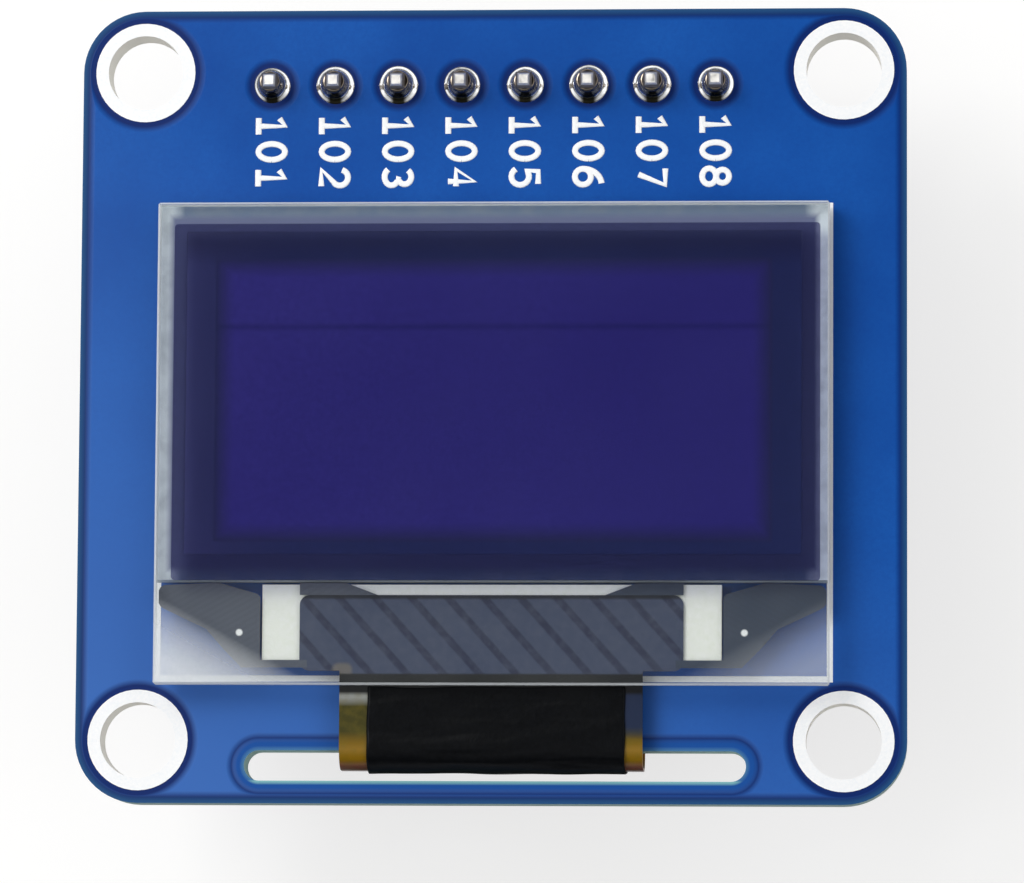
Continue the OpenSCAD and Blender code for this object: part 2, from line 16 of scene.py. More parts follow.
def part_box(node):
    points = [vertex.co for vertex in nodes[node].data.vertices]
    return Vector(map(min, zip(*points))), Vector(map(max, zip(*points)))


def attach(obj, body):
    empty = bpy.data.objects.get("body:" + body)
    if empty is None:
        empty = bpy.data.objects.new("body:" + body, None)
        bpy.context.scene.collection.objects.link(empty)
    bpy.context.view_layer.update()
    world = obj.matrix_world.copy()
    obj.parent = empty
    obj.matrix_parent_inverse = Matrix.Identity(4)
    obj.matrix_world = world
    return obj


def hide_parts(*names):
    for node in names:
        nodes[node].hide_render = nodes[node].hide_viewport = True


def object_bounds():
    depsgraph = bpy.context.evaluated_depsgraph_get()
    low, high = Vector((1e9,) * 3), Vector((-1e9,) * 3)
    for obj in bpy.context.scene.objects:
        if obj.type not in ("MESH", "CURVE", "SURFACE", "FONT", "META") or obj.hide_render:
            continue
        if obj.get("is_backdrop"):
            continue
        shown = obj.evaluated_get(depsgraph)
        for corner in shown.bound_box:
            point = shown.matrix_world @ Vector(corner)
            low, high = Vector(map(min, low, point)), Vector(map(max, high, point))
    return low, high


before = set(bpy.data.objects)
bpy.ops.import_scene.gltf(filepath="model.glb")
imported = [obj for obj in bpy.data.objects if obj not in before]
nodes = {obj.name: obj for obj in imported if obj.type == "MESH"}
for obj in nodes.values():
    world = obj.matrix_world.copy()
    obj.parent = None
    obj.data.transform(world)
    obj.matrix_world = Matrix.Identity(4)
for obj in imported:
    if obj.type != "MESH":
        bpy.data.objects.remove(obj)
cad_low, cad_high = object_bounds()
print(len(nodes), "pieces in the model, box", [round(v * 1000, 2) for v in (*cad_low, *cad_high)])

# %% [markdown]
# ## Sizes
# Most places below are read from the model's own boxes, so that the lesson follows the model when it
# changes. A box is two corners. Millimetres keep the numbers easy to read.

# %% Read the boxes of the main pieces
MM = 0.001


def box_mm(name):
    low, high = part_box(name)
    return low / MM, high / MM


board_low, board_high = box_mm("circuit_board")
glass_low, glass_high = box_mm("substrate_glass")
cap_low, cap_high = box_mm("cap_glass")
pixels_low, pixels_high = box_mm("emissive_stack")
flex_high = box_mm("flex_circuit")[1]
board_top = board_high.z
half_board = (board_high - board_low) / 2
pin_places = []
for number in range(1, 9):
    low, high = box_mm(f"header_pin_{number}")
    pin_places.append(((low + high) / 2).to_2d())
row_y = pin_places[0].y
pin_pitch = pin_places[1].x - pin_places[0].x
print("board", tuple(board_high - board_low), "row at", round(row_y, 3), "pitch", round(pin_pitch, 3))

# %% [markdown]
# ## Camera
# The module is seen from nearly straight above, from a quarter of a metre away, through a long lens.
# A camera looks along its own -Z, so its matrix is built from three axes: right, up and backwards.

# %% Set the camera
scene = bpy.context.scene
looking = Vector((-0.065, 0.1076, -0.9921)).normalized()
right = looking.cross(Vector((0.0008, 0.9942, 0.1078))).normalized()
up = right.cross(looking)
camera = bpy.data.objects.new("camera", bpy.data.cameras.new("camera"))
scene.collection.objects.link(camera)
eye = Vector((17.06, -28.37, 249.4)) * MM
camera.matrix_world = Matrix.Translation(eye) @ Matrix((right, up, -looking)).transposed().to_4x4()
camera.data.sensor_width = 36
camera.data.lens = 220.9
camera.data.clip_start, camera.data.clip_end = 0.02, 5
scene.camera = camera
scene.view_settings.view_transform = "Standard"
print("camera at", [round(v * 1000, 1) for v in camera.location])

# %% [markdown]
# ## Nodes in short
# A finish is a small tree of nodes. A few helpers keep it readable: `hue` turns a colour as a screen
# shows it into the linear colour that a shader needs, `put` sets a socket to a number or joins it to
# another node, and `calc` adds one Math node and hands back its result. `away` is how far two values
# lie apart, and `beat` runs from a half down to nothing and up again each time that a value grows by
# one, which makes stripes.

# %% Helpers for colours and nodes
def hue(red, green, blue):
    parts = [v / 255 for v in (red, green, blue)]
    return (*[v / 12.92 if v <= 0.04045 else ((v + 0.055) / 1.055) ** 2.4 for v in parts], 1)


def put(tree, socket, value):
    if isinstance(value, bpy.types.NodeSocket):
        tree.links.new(value, socket)
    else:
        socket.default_value = value


def calc(tree, operation, *values):
    step = tree.nodes.new("ShaderNodeMath")
    step.operation = operation
    for socket, value in zip(step.inputs, values):
        put(tree, socket, value)
    return step.outputs[0]


def ramp(tree, value, start, end, low=0.0, high=1.0):
    step = tree.nodes.new("ShaderNodeMapRange")
    names = ("Value", "From Min", "From Max", "To Min", "To Max")
    for name, number in zip(names, (value, start, end, low, high)):
        put(tree, step.inputs[name], number)
    return step.outputs["Result"]


def blend(tree, share, first, second):
    step = tree.nodes.new("ShaderNodeMix")
    step.data_type = "RGBA"
    put(tree, step.inputs["Factor"], share)
    for socket, value in zip([s for s in step.inputs if s.type == "RGBA"], (first, second)):
        put(tree, socket, value)
    return next(s for s in step.outputs if s.type == "RGBA")


def away(tree, first, second):
    return calc(tree, "ABSOLUTE", calc(tree, "SUBTRACT", first, second))


def beat(tree, value):
    return away(tree, calc(tree, "FRACT", value), 0.5)


def mix_shaders(tree, share, first, second):
    step = tree.nodes.new("ShaderNodeMixShader")
    for socket, value in zip(step.inputs, (share, first, second)):
        tree.links.new(value, socket)
    return step.outputs[0]


print("blue of the board as a shader sees it:", [round(v, 3) for v in hue(30, 84, 165)])

# %% [markdown]
# ## Light
# The module stands in a light tent: a bright ring of cloth, with a dark gap overhead on the far side,
# so that nothing shines into the glass. There is less light near the table and on the near side, which
# gives round metal its dark sides. One soft lamp from the upper left gives the direction of the
# shadows. The camera itself sees plain white instead of the tent.

# %% Build the tent and the lamp
world = bpy.data.worlds.new("light_tent")
scene.world = world
world.use_nodes = True
tree = world.node_tree
tent = tree.nodes["Background"]
direction = tree.nodes.new("ShaderNodeTexCoord").outputs["Generated"]
to_gap = tree.nodes.new("ShaderNodeVectorMath")
to_gap.operation = "DOT_PRODUCT"
tree.links.new(direction, to_gap.inputs[0])
to_gap.inputs[1].default_value = Vector((0.13, 0.27, 0.95)).normalized()
overhead = ramp(tree, to_gap.outputs["Value"], math.cos(math.radians(34)), math.cos(math.radians(17)), 1, 0.01)
height = tree.nodes.new("ShaderNodeSeparateXYZ")
tree.links.new(direction, height.inputs[0])
far_side = ramp(tree, height.outputs["Y"], -0.75, -0.1, 0.15, 1.25)
above_table = ramp(tree, height.outputs["Z"], 0.25, 0.5, 0.08, 1.12)
glow = calc(tree, "MULTIPLY", calc(tree, "MULTIPLY", overhead, far_side), above_table)
seen = tree.nodes.new("ShaderNodeLightPath").outputs["Is Camera Ray"]
put(tree, tent.inputs["Strength"], calc(tree, "MAXIMUM", glow, seen))
tent.inputs["Color"].default_value = (0.985, 0.99, 1, 1)

lamp = bpy.data.lights.new("soft_lamp", "AREA")
lamp.shape = "DISK"
lamp.size = 0.16
lamp.energy = 0.42
lamp.color = (1, 0.99, 0.96)
lamp_object = bpy.data.objects.new("soft_lamp", lamp)
lamp_object.location = Vector((-170, 120, 240)) * MM
lamp_object.rotation_mode = "QUATERNION"
lamp_object.rotation_quaternion = (-lamp_object.location).to_track_quat("-Z", "Y")
scene.collection.objects.link(lamp_object)
print("lamp", round(lamp_object.location.length * 1000), "mm away")

# %% [markdown]
# ## Floor
# A pale sheet under the tips of the pins takes the shadow. It shines a little by itself, but only for
# the camera, for reflections and for what is seen through glass, so it adds no light to the module.

# %% Lay the floor
def mesh_piece(name, bm, material):
    mesh = bpy.data.meshes.new(name)
    bm.normal_update()
    bm.to_mesh(mesh)
    bm.free()
    mesh.materials.append(material)
    piece = bpy.data.objects.new(name, mesh)
    scene.collection.objects.link(piece)
    return piece


def finish(name, **sockets):
    material = bpy.data.materials.new(name)
    material.use_nodes = True
    tree = material.node_tree
    surface = tree.nodes["Principled BSDF"]
    for socket, value in sockets.items():
        surface.inputs[socket.replace("_", " ")].default_value = value
    return material, tree, surface


paper, tree, surface = finish("pale_floor", Roughness=0.9)
surface.inputs["Base Color"].default_value = (0.36, 0.36, 0.36, 1)
path = tree.nodes.new("ShaderNodeLightPath")
rays = calc(tree, "ADD", path.outputs["Is Camera Ray"], path.outputs["Is Glossy Ray"])
rays = calc(tree, "ADD", rays, path.outputs["Is Transmission Ray"])
surface.inputs["Emission Color"].default_value = (1, 0.995, 0.985, 1)
put(tree, surface.inputs["Emission Strength"], calc(tree, "MULTIPLY", rays, 0.67))
bm = bmesh.new()
bmesh.ops.create_grid(bm, x_segments=1, y_segments=1, size=2)
bmesh.ops.translate(bm, verts=bm.verts, vec=(0, 0, cad_low.z))
floor = mesh_piece("floor", bm, paper)
floor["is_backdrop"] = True
print("floor at", round(cad_low.z * 1000, 2), "mm")

# %% [markdown]
# ## Coordinates and masks
# A pattern on the board has to know where it is. Object coordinates of a piece whose object sits at
# the origin are simply its place in metres, so a thousand times that is millimetres. A mask asks how
# far a point is from a shape: below zero is inside. Rounded boxes and circles are enough here. `grain`
# is noise, `relief` turns a height into a bump, `wear` gives a finish to a piece of the model, and
# `double_sheet` adds a second layer to a flat sheet.

# %% Helpers for places and distances
def place(tree):
    source = tree.nodes.new("ShaderNodeTexCoord")
    scaled = tree.nodes.new("ShaderNodeVectorMath")
    scaled.operation = "SCALE"
    scaled.inputs["Scale"].default_value = 1000
    tree.links.new(source.outputs["Object"], scaled.inputs[0])
    split = tree.nodes.new("ShaderNodeSeparateXYZ")
    tree.links.new(scaled.outputs[0], split.inputs[0])
    facing = tree.nodes.new("ShaderNodeSeparateXYZ")
    tree.links.new(source.outputs["Normal"], facing.inputs[0])
    return scaled.outputs[0], split.outputs, facing.outputs


def long_side(tree, dx, dy):
    squares = calc(tree, "ADD", calc(tree, "MULTIPLY", dx, dx), calc(tree, "MULTIPLY", dy, dy))
    return calc(tree, "SQRT", squares)


def to_circle(tree, x, y, centre, radius):
    dx, dy = calc(tree, "SUBTRACT", x, centre[0]), calc(tree, "SUBTRACT", y, centre[1])
    return calc(tree, "SUBTRACT", long_side(tree, dx, dy), radius)


def to_box(tree, x, y, centre, half, radius=0.0):
    dx, dy = (
        calc(tree, "SUBTRACT", away(tree, v, c), h - radius) for v, c, h in zip((x, y), centre, half)
    )
    outside = long_side(tree, calc(tree, "MAXIMUM", dx, 0), calc(tree, "MAXIMUM", dy, 0))
    inside = calc(tree, "MINIMUM", calc(tree, "MAXIMUM", dx, dy), 0)
    return calc(tree, "SUBTRACT", calc(tree, "ADD", outside, inside), radius)


def grain(tree, where, scale, detail=2.0, rough=0.5):
    step = tree.nodes.new("ShaderNodeTexNoise")
    tree.links.new(where, step.inputs["Vector"])
    for name, number in (("Scale", scale), ("Detail", detail), ("Roughness", rough)):
        step.inputs[name].default_value = number
    return step.outputs["Fac"]


def relief(tree, surface, height, depth, strength=1.0):
    step = tree.nodes.new("ShaderNodeBump")
    step.inputs["Strength"].default_value = strength
    step.inputs["Distance"].default_value = depth * MM
    tree.links.new(height, step.inputs["Height"])
    tree.links.new(step.outputs["Normal"], surface.inputs["Normal"])
    return step


def wear(node, material):
    piece = nodes[node]
    piece.data.materials.clear()
    piece.data.materials.append(material)


def double_sheet(bm, step):
    made = bmesh.ops.extrude_face_region(bm, geom=bm.faces[:], use_keep_orig=True)["geom"]
    bmesh.ops.translate(bm, verts=[v for v in made if isinstance(v, bmesh.types.BMVert)], vec=step)


print("helpers ready")

# %% [markdown]
# ## Circuit board
# The board is green-grey glass laminate with copper on both faces under a blue lacquer. The copper
# stops short of the edge, the holes, the slot and the pads, and on the back it is cut into tracks by
# the fingers and below the pins. Where there is no copper, the lacquer is darker and lies a little
# lower. A mask of distances draws those clearances, and the same mask drives the bump. Towards the
# lower left corner the blue is painted lighter, which is painted light. The cut edges show the
# laminate, and the mounting holes are lined with pale metal.

# %% Finish the board
lacquer, tree, surface = finish("blue_lacquer", Specular_IOR_Level=0.35)
where, (x, y, z), facing = place(tree)
CORNER, HOLE_INSET, HOLE_RADIUS = 2.5, 2.5, 1.5
SLOT_X, SLOT_UP, SLOT_HALF, SLOT_END = 0.2, 1.5, 9.95, 0.6
FINGER_MIDDLE, FINGER_PITCH, FINGERS_HALF = 0.1, 0.62, 9.6
edge = to_box(tree, x, y, (0, 0), half_board.to_2d(), CORNER)
hole_at = half_board.to_2d() - Vector((HOLE_INSET, HOLE_INSET))
hole = to_circle(tree, calc(tree, "ABSOLUTE", x), calc(tree, "ABSOLUTE", y), hole_at, HOLE_RADIUS)
slot = to_box(tree, x, y, (SLOT_X, SLOT_UP - half_board.y), (SLOT_HALF, SLOT_END), SLOT_END)
first, last = pin_places[0].x, pin_places[-1].x
within = calc(tree, "MINIMUM", calc(tree, "MAXIMUM", x, first), last)
step_number = calc(tree, "ROUND", calc(tree, "DIVIDE", calc(tree, "SUBTRACT", within, first), pin_pitch))
nearest = calc(tree, "ADD", calc(tree, "MULTIPLY", step_number, pin_pitch), first)
pad = to_circle(tree, calc(tree, "SUBTRACT", x, nearest), y, (0, row_y), 0.0)
clear = calc(tree, "MINIMUM", calc(tree, "SUBTRACT", hole, 0.8), calc(tree, "SUBTRACT", pad, 1.0))
clear = calc(tree, "MINIMUM", clear, calc(tree, "SUBTRACT", calc(tree, "MULTIPLY", edge, -1), 0.36))
ditch = calc(tree, "SUBTRACT", away(tree, slot, 0.5), 0.09)
clear = calc(tree, "MINIMUM", clear, ditch)
behind = ramp(tree, z, 0.7, 0.9, 1, 0)


def gaps_between(pitch, start, end, half_width):
    share = calc(tree, "DIVIDE", calc(tree, "SUBTRACT", x, FINGER_MIDDLE), pitch)
    off = calc(tree, "MULTIPLY", calc(tree, "SUBTRACT", 0.5, beat(tree, share)), pitch)
    reach = calc(tree, "SUBTRACT", away(tree, y, (start + end) / 2), (end - start) / 2)
    side = calc(tree, "SUBTRACT", away(tree, x, FINGER_MIDDLE), FINGERS_HALF)
    gap = calc(tree, "MAXIMUM", calc(tree, "MAXIMUM", calc(tree, "SUBTRACT", off, half_width), reach), side)
    return calc(tree, "ADD", gap, calc(tree, "MULTIPLY", calc(tree, "SUBTRACT", 1, behind), 9))


clear = calc(tree, "MINIMUM", clear, gaps_between(FINGER_PITCH, -9.2, -7.2, 0.07))
clear = calc(tree, "MINIMUM", clear, gaps_between(pin_pitch / 2, 6.4, 11.2, 0.08))
copper = ramp(tree, clear, -0.12, 0.12)
cloud = grain(tree, where, 0.16, 3)
weave = grain(tree, where, 6, 3, 0.6)
blue = blend(tree, ramp(tree, cloud, 0.35, 0.65), hue(8, 74, 158), hue(18, 86, 172))
blue = blend(tree, ramp(tree, weave, 0.3, 0.75, 0, 0.35), blue, hue(6, 62, 146))
# Painted light: towards the lower left corner the blue is painted lighter.
painted_light_corner = ramp(tree, calc(tree, "ADD", calc(tree, "MULTIPLY", x, 0.6), y), 4, -22, 0, 0.85)
blue = blend(tree, painted_light_corner, blue, hue(62, 110, 186))
near_edge = ramp(tree, calc(tree, "MULTIPLY", edge, -1), 0.0, 0.3, 1, 0)
bare = blend(tree, near_edge, hue(4, 38, 104), hue(36, 84, 130))
rim = blend(tree, ramp(tree, slot, 0.02, 0.18), hue(70, 120, 164), hue(20, 78, 156))
lit_lip = calc(tree, "MULTIPLY", ramp(tree, y, -14.96, -15.02), ramp(tree, slot, 0.02, 0.16, 1, 0))
rim = blend(tree, lit_lip, rim, hue(132, 190, 192))
bare = blend(tree, ramp(tree, slot, 0.3, 0.42, 1, 0), bare, rim)
top_coat = blend(tree, calc(tree, "MULTIPLY", copper, ramp(tree, slot, 0.3, 0.42)), bare, blue)
layers = tree.nodes.new("ShaderNodeTexNoise")
stretch = tree.nodes.new("ShaderNodeMapping")
stretch.inputs["Scale"].default_value = (0.7, 0.7, 9)
tree.links.new(where, stretch.inputs["Vector"])
tree.links.new(stretch.outputs["Vector"], layers.inputs["Vector"])
laminate = blend(tree, ramp(tree, layers.outputs["Fac"], 0.35, 0.65), hue(160, 190, 188), hue(192, 214, 208))
laminate = blend(tree, ramp(tree, hole, 0.03, 0.06, 1, 0), laminate, hue(252, 250, 244))
flat = ramp(tree, calc(tree, "ABSOLUTE", facing[2]), 0.4, 0.6)
put(tree, surface.inputs["Base Color"], blend(tree, flat, laminate, top_coat))
put(tree, surface.inputs["Roughness"], ramp(tree, flat, 0, 1, 0.75, 0.27))
height = calc(tree, "ADD", calc(tree, "MULTIPLY", copper, flat), calc(tree, "MULTIPLY", weave, 0.14))
relief(tree, surface, height, 0.012)
wear("circuit_board", lacquer)
print("board finish has", len(tree.nodes), "nodes")

# %% [markdown]
# ## White print
# The line round the panel and the rings are a thick white ink, almost even. The legends beside the
# pins are plain numbers, with their feet to the left, as they read when the module is turned. Legends
# on a board are drawn with a round pen, so each figure is a pen's path. A curve with a round bevel
# follows the path, and its mesh is pressed flat to a low, soft-edged stroke.

# %% Finish the print
ink, tree, surface = finish("white_ink", Roughness=0.5)
where, (x, y, z), facing = place(tree)
dabs = grain(tree, where, 9, 3, 0.6)
white = blend(tree, ramp(tree, dabs, 0.25, 0.7), hue(244, 247, 250), hue(255, 255, 255))
put(tree, surface.inputs["Base Color"], white)
relief(tree, surface, dabs, 0.003)
wear("silkscreen_print", ink)

# %% Describe the path of each figure
def arc(x, y, across, high, start, end, steps=14):
    angles = [math.radians(start + (end - start) * i / steps) for i in range(steps + 1)]
    return [(x + across * math.cos(a), y + high * math.sin(a)) for a in angles]


figures = {
    "0": [arc(0.3, 0.5, 0.3, 0.5, 0, 360, 24)],
    "1": [[(0.02, 0.78), (0.31, 1), (0.31, 0)], [(0, 0), (0.62, 0)]],
    "2": [arc(0.3, 0.7, 0.3, 0.3, 165, -35) + [(0, 0), (0.62, 0)]],
    "3": [arc(0.28, 0.75, 0.28, 0.25, 150, -80) + arc(0.28, 0.26, 0.32, 0.26, 80, -150)],
    "4": [[(0.46, 0), (0.46, 1), (0, 0.3), (0.64, 0.3)]],
    "5": [[(0.56, 1), (0.08, 1), (0.05, 0.58)] + arc(0.28, 0.33, 0.32, 0.33, 115, -150)],
    "6": [arc(0.6, 0.3, 0.6, 0.7, 95, 180) + arc(0.3, 0.3, 0.3, 0.3, 180, 540, 20)],
    "7": [[(0, 1), (0.62, 1), (0.22, 0)]],
    "8": [arc(0.3, 0.76, 0.25, 0.24, 270, 630, 20), arc(0.3, 0.26, 0.3, 0.26, 90, 450, 20)],
}
print(len(figures), "figures described")

# %% Draw the legends
def pen_stroke(points, width):
    curve = bpy.data.curves.new("stroke", "CURVE")
    curve.dimensions = "3D"
    curve.bevel_depth = width / 2
    curve.bevel_resolution = 2
    curve.use_fill_caps = True
    line = curve.splines.new("POLY")
    line.points.add(len(points) - 1)
    for knot, (px, py) in zip(line.points, points):
        knot.co = (px, py, 0, 1)
    draft = bpy.data.objects.new("stroke", curve)
    scene.collection.objects.link(draft)
    bpy.context.view_layer.update()
    mesh = bpy.data.meshes.new_from_object(draft.evaluated_get(bpy.context.evaluated_depsgraph_get()))
    bpy.data.objects.remove(draft)
    return mesh


FIRST_LEGEND, FROM_ROW, PRESSED = 101, 1.32, 0.16
pen, cap_height, advance = 0.25, 1.32, 1.05
tall = cap_height - pen
joined = bmesh.new()
for number, spot in enumerate(pin_places):
    for step, figure in enumerate(str(FIRST_LEGEND + number)):
        for path in figures[figure]:
            points = [(step * advance + px * tall, py * tall) for px, py in path]
            mesh = pen_stroke(points, pen)
            lay = Matrix.Translation(Vector((spot.x - tall / 2, row_y - FROM_ROW, board_top)) * MM)
            press = Matrix.Diagonal((MM, MM, MM * PRESSED, 1))
            mesh.transform(lay @ Matrix.Rotation(-math.pi / 2, 4, "Z") @ press)
            joined.from_mesh(mesh)
            bpy.data.meshes.remove(mesh)
legends = mesh_piece("pin_legends", joined, ink)
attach(legends, "root")
print("legends have", len(legends.data.polygons), "faces")

# %% [markdown]
# ## Glass
# Two panes of plain float glass. Their faces are clear and only show a reflection, stronger at a
# glancing view, which Fresnel gives. Their ground edges are matt and pale. Clear glass is easiest as
# a transparent shader mixed with a glossy one, which also lets the light reach the layers below. The
# share of the glossy one is held low, or the inner face would turn slanting light away. In the two
# free corners of the ledge a pale, milky layer is a painted reflection, stronger in the left corner.

# %% Finish the glass
MOST_GLOSS = 0.12


def clear_glass(name, tint, ground, haze, corner_reflection=0.0):
    material, tree, surface = finish(name, Roughness=0.45)
    where, (x, y, z), facing = place(tree)
    frost = grain(tree, where, 7, 3, 0.6)
    put(tree, surface.inputs["Base Color"], blend(tree, frost, ground, hue(226, 232, 236)))
    through = tree.nodes.new("ShaderNodeBsdfTransparent")
    through.inputs["Color"].default_value = tint
    mirror = tree.nodes.new("ShaderNodeBsdfGlossy")
    mirror.inputs["Roughness"].default_value = 0.03
    bend = tree.nodes.new("ShaderNodeFresnel")
    bend.inputs["IOR"].default_value = 1.5
    share = calc(tree, "MINIMUM", bend.outputs[0], MOST_GLOSS)
    pane = mix_shaders(tree, share, through.outputs[0], mirror.outputs[0])
    polished = ramp(tree, calc(tree, "ABSOLUTE", facing[2]), 0.9, 0.97)
    haze_and_painted_reflection = ramp(tree, grain(tree, where, 0.5, 2), 0.3, 0.7, haze * 0.7, haze * 1.3)
    outwards = away(tree, x, (glass_low.x + glass_high.x) / 2)
    past_wing = calc(tree, "MULTIPLY", calc(tree, "SUBTRACT", outwards, 10.2), 0.5)
    reflection_corner = calc(tree, "SUBTRACT", past_wing, calc(tree, "MULTIPLY", calc(tree, "ADD", y, 9.2), 0.9))
    # Painted reflection: a pale layer in the two free corners of the ledge, stronger on the left.
    painted_corner_reflection = ramp(tree, x, -4, 4, corner_reflection, corner_reflection * 0.3)
    haze_and_painted_reflection = calc(tree, "ADD", haze_and_painted_reflection, calc(tree, "MULTIPLY", ramp(tree, reflection_corner, 0.2, 2.4), painted_corner_reflection))
    ground_share = calc(tree, "MULTIPLY", calc(tree, "SUBTRACT", 1, polished), 0.55)
    whole = mix_shaders(tree, calc(tree, "MAXIMUM", ground_share, haze_and_painted_reflection), pane, surface.outputs[0])
    tree.links.new(whole, tree.nodes["Material Output"].inputs["Surface"])
    return material


upper = clear_glass("upper_glass", (0.975, 0.985, 0.985, 1), hue(244, 247, 250), 0.012, 0.55)
wear("cap_glass", clear_glass("lower_glass", (0.95, 0.97, 0.97, 1), hue(190, 204, 208), 0.05))
print("glass done")

# %% [markdown]
# ## Upper pane
# The edges of the upper pane are ground to a small chamfer, which catches the light as a pale line.
# A cube is stretched to the pane's size and bevelled with one segment. It is a few micrometres thinner
# than its place, because two faces at the very same height make a pattern where one hides the other.

# %% Make the upper pane
HAIR, CHAMFER = 0.004, 0.07


def round_block(bm, low, high, radius, slot=0, segments=3):
    made = bmesh.ops.create_cube(bm, size=1)["verts"]
    bmesh.ops.scale(bm, verts=made, vec=high - low)
    bmesh.ops.translate(bm, verts=made, vec=(low + high) / 2)
    edges = list(dict.fromkeys(edge for v in made for edge in v.link_edges))
    for face in dict.fromkeys(face for v in made for face in v.link_faces):
        face.material_index = slot
    bmesh.ops.bevel(
        bm, geom=edges, offset=radius, segments=segments, affect="EDGES", profile=0.5, material=-1
    )


bm = bmesh.new()
inset = Vector((0, 0, HAIR))
round_block(bm, glass_low + inset, glass_high - inset, CHAMFER, segments=1)
bmesh.ops.scale(bm, verts=bm.verts, vec=(MM, MM, MM))
pane = mesh_piece("upper_pane", bm, upper)
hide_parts("substrate_glass")
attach(pane, "root")
print("pane", [round(v, 3) for v in glass_high - glass_low])

# %% [markdown]
# ## Polarizer
# The dark film on the glass absorbs most of the light, twice on its way in and out, and it takes more
# red than blue. That is a tinted transparent shader under a thin reflection. Because it isn't fully
# black, the seal and the light-emitting area show through it as slightly different darks.

# %% Finish the polarizer
dark_film, tree, surface = finish("polarizing_film", Roughness=0.1)
through = tree.nodes.new("ShaderNodeBsdfTransparent")
where, (x, y, z), facing = place(tree)
sheen = ramp(tree, grain(tree, where, 0.12, 2), 0.3, 0.7)
put(tree, through.inputs["Color"], blend(tree, sheen, (0.58, 0.575, 0.71, 1), (0.6, 0.6, 0.725, 1)))
bend = tree.nodes.new("ShaderNodeFresnel")
bend.inputs["IOR"].default_value = 1.45
mirror = tree.nodes.new("ShaderNodeBsdfGlossy")
mirror.inputs["Roughness"].default_value = 0.12
share = calc(tree, "MINIMUM", bend.outputs[0], MOST_GLOSS)
film = mix_shaders(tree, share, through.outputs[0], mirror.outputs[0])
tree.links.new(film, tree.nodes["Material Output"].inputs["Surface"])
wear("polarizer", dark_film)
print("polarizer done")

# %% [markdown]
# ## Layers under the glass
# The light-emitting area is violet-blue, with a fine grain and one row that is darker than the rest,
# and it is painted darker towards the right as painted shade. Round it lies a greyer film, painted
# lighter on the left and darker at the top as painted light and shade, and outside that the seal,
# which is pale at the glass's edge and darker inwards. They are thin sheets, so a colour by place is
# all that they need.

# %% Finish the layers
pixels, tree, surface = finish("pixel_layer", Roughness=0.5)
where, (x, y, z), facing = place(tree)
violet = blend(tree, ramp(tree, grain(tree, where, 0.1, 2), 0.35, 0.65), hue(150, 134, 246), hue(160, 144, 252))
violet = blend(tree, ramp(tree, grain(tree, where, 5, 2), 0.35, 0.7, 0, 0.25), violet, hue(92, 92, 190))
# Painted shade: the violet is painted darker towards the right.
violet = blend(tree, ramp(tree, x, -9, 9, 0, 0.6), violet, hue(132, 120, 226))
row = ramp(tree, away(tree, y, 3.0), 0.03, 0.2, 0.4, 0)
violet = blend(tree, row, violet, hue(80, 80, 160))
centre, half = (pixels_low + pixels_high) / 2, (pixels_high - pixels_low) / 2
rim = ramp(tree, to_box(tree, x, y, centre.to_2d(), half.to_2d(), 0.3), -0.75, 0.0)
put(tree, surface.inputs["Base Color"], blend(tree, rim, violet, hue(116, 122, 162)))
wear("emissive_stack", pixels)

border, tree, surface = finish("border_layer", Roughness=0.5)
where, (x, y, z), facing = place(tree)
# Painted light and shade: the border film is lighter on the left and darker at the top.
border_light_and_shade = blend(tree, ramp(tree, x, -12, -8), hue(136, 142, 186), hue(108, 126, 174))
border_light_and_shade = blend(tree, ramp(tree, y, 5.4, 6.4, 0, 0.7), border_light_and_shade, hue(84, 90, 124))
put(tree, surface.inputs["Base Color"], border_light_and_shade)
wear("border_film", border)

seal, tree, surface = finish("seal", Roughness=0.6)
where, (x, y, z), facing = place(tree)
centre = (cap_low + cap_high) / 2
inward = calc(tree, "MULTIPLY", to_box(tree, x, y, centre.to_2d(), ((cap_high - cap_low) / 2).to_2d()), -1)
half_glass = glass_high.x - centre.x
aside = ramp(tree, away(tree, x, centre.x), half_glass - 1.0, half_glass - 0.5)
pale = blend(tree, aside, hue(116, 136, 164), hue(236, 244, 250))
pale = blend(tree, ramp(tree, grain(tree, where, 1.4, 3), 0.4, 0.7, 0, 0.4), pale, hue(150, 160, 172))
put(tree, surface.inputs["Base Color"], blend(tree, ramp(tree, inward, 0.35, 0.62), pale, hue(112, 120, 158)))
wear("seal_frame", seal)
print("layers done")

# %% [markdown]
# ## Conductors under the ledge
# Fine leads fan out from the sides of the panel to the bonded end of the flexible circuit. From
# above they read as slate wings with fine stripes along their slope, painted lighter on the left as
# painted light. Each wing has one round mark, which the assembler uses to line the panel up.

# %% Finish the conductors
leads, tree, surface = finish("thin_leads", Roughness=0.4)
where, (x, y, z), facing = place(tree)
middle = (glass_low.x + glass_high.x) / 2
outwards = away(tree, x, middle)
slope = calc(tree, "ADD", calc(tree, "MULTIPLY", outwards, 0.55), y)
stripes = beat(tree, calc(tree, "MULTIPLY", slope, 4))
# Painted light: the slate is lighter on the left and darker on the right.
slate = blend(tree, ramp(tree, x, -6, 6), hue(80, 86, 100), hue(50, 62, 82))
slate = blend(tree, ramp(tree, stripes, 0.15, 0.35, 0.12, 0), slate, hue(40, 44, 56))
mark = ramp(tree, to_circle(tree, outwards, y, (10.0, -9.18), 0.13), -0.03, 0.03, 1, 0)
put(tree, surface.inputs["Base Color"], blend(tree, mark, slate, hue(255, 255, 255)))
wear("electrode_traces", leads)
print("conductors done")

# %% [markdown]
# ## Pads and tapes
# The pad under the ledge is cream foam, and the tape under the panel is white foam. Both have an open
# grain that a bump at two sizes gives. The drying sheet is a pale, chalky paper.

